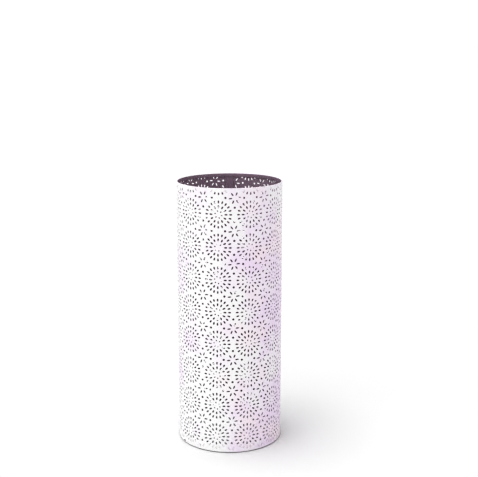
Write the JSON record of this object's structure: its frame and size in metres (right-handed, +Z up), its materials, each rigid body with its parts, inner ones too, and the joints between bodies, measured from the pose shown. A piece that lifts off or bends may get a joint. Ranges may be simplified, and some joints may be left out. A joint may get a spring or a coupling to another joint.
{
  "type": "umbrella stand",
  "caption": "Tall cylindrical umbrella stand of white perforated sheet steel with a rolled rim and a lift-out drip tray.",
  "frame": {"origin": "centre of the footprint on the floor", "axes": "+Z up, -Y towards the front, +Y towards the welded seam at the back, +X to the right seen from the front"},
  "size_m": [0.2, 0.2, 0.5064],
  "materials": {
    "coated_steel": "satin pearl white powder coat",
    "tray_plastic": "matt light grey",
    "pad_rubber": "matt black"
  },
  "bodies": {
    "stand": {"perforated_shell": "coated_steel", "top_rim_ring": "coated_steel", "seam_strip": "coated_steel", "base_pan": "coated_steel", "foot_front_left": "pad_rubber", "foot_front_right": "pad_rubber", "foot_back_left": "pad_rubber", "foot_back_right": "pad_rubber"},
    "drip_tray": {"drip_tray": "tray_plastic"}
  },
  "joints": [
    {"name": "drip_tray_lift", "type": "slide", "parent": "stand", "child": "drip_tray", "axis": [0, 0, 1], "range_m": [0, 0.52]}
  ]
}
